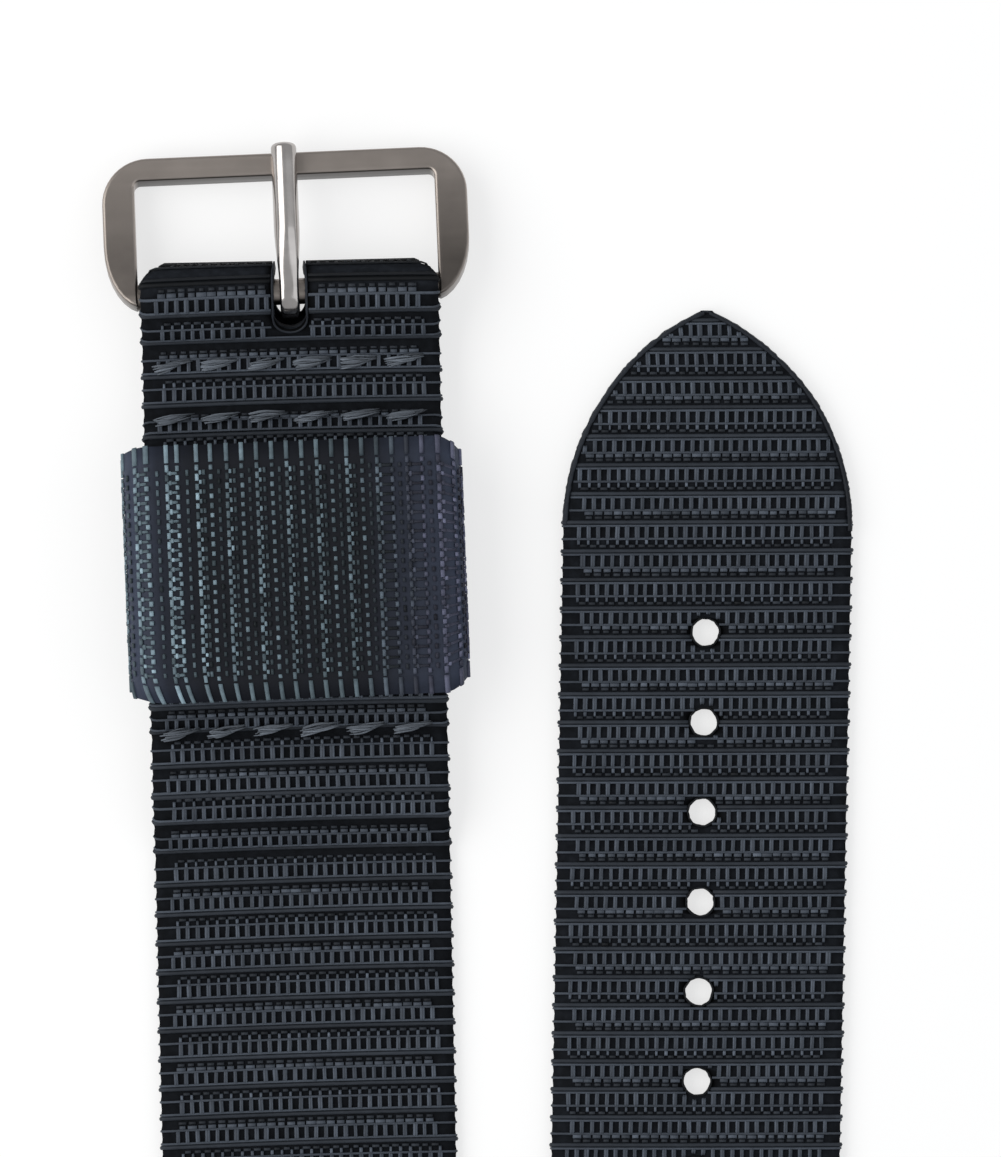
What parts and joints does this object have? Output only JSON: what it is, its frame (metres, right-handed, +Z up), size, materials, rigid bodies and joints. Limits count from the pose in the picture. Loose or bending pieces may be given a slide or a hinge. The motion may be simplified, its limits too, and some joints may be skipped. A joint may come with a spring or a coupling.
{
  "type": "single pass watch strap",
  "caption": "Ribbed webbing watch strap in one piece, with a sewn pin buckle, one keeper loop and a punched, pointed tip.",
  "frame": {"origin": "bottom centre of the whole part's box, on the table", "axes": "+X along the heel bar, +Y from the strap towards the buckle, +Z up out of the strap's front face"},
  "size_m": [0.0506, 0.1464, 0.02],
  "materials": {
    "webbing": "ribbed nylon weave, matt",
    "keeper": "ribbed nylon weave, slight sheen",
    "thread": "spun thread, fuzzy",
    "frame_steel": "fine brushed",
    "tongue_steel": "polished wire"
  },
  "bodies": {
    "strap": {"strap_webbing": "webbing", "needle_thread_fold": "thread", "needle_thread_upper": "thread", "needle_thread_lower": "thread", "bobbin_thread_fold": "thread", "bobbin_thread_upper": "thread", "bobbin_thread_lower": "thread"},
    "keeper": {"keeper_loop": "keeper"},
    "buckle": {"buckle_frame": "frame_steel"},
    "tongue": {"buckle_tongue": "tongue_steel"}
  },
  "joints": [
    {"name": "keeper_slide", "type": "slide", "parent": "strap", "child": "keeper", "axis": [0, 1, 0], "range_m": [-0.0006, 0.0003]},
    {"name": "frame_pivot", "type": "hinge", "parent": "strap", "child": "buckle", "pos_m": [-0.01276, 0.06298, 0.00295], "axis": [1, 0, 0], "range_deg": [-79, 15]},
    {"name": "tongue_pivot", "type": "hinge", "parent": "buckle", "child": "tongue", "pos_m": [-0.01276, 0.06298, 0.00295], "axis": [1, 0, 0], "range_deg": [0, 90]}
  ]
}
